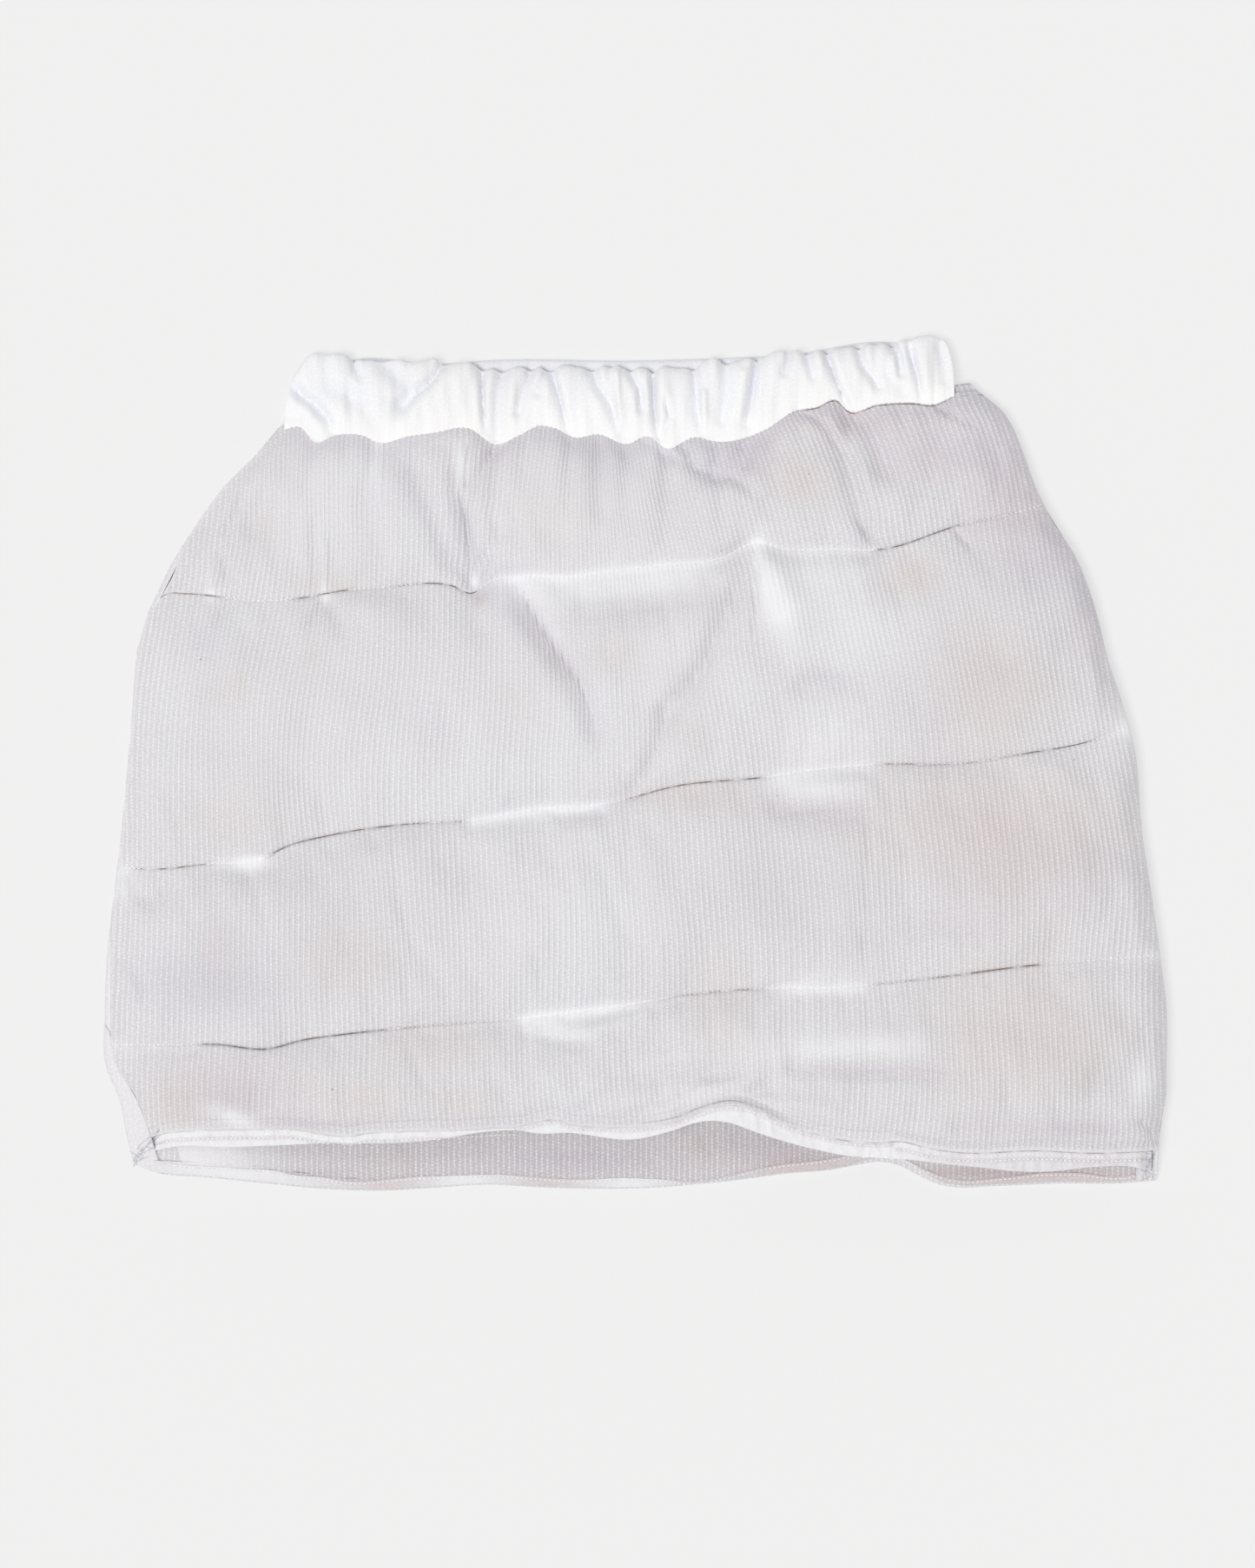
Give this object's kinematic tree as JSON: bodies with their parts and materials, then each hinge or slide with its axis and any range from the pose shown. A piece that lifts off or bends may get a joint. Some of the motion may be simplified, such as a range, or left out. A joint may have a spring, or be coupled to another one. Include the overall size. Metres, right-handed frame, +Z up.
{
  "type": "padded petticoat skirt",
  "caption": "Short white padded skirt in ribbed cotton, stitched across into soft channels, with a gathered elastic waistband and an open hem, lying flat.",
  "frame": {"origin": "centre of the laid-out skirt, on the surface it lies on", "axes": "+X to the right as seen from above with the waist away, +Y from the hem to the waist, +Z up through the front"},
  "size_m": [0.527, 0.4247, 0.0396],
  "materials": {
    "shell": "matt ribbed cotton, off-white with faint warm stains",
    "lining": "matt ribbed cotton",
    "waistband": "matt cotton casing, gathered"
  },
  "bodies": {
    "root": {"front_panel": "shell", "back_panel": "shell", "front_lining": "lining", "back_lining": "lining", "waistband_front": "waistband", "waistband_back": "waistband"}
  },
  "joints": []
}
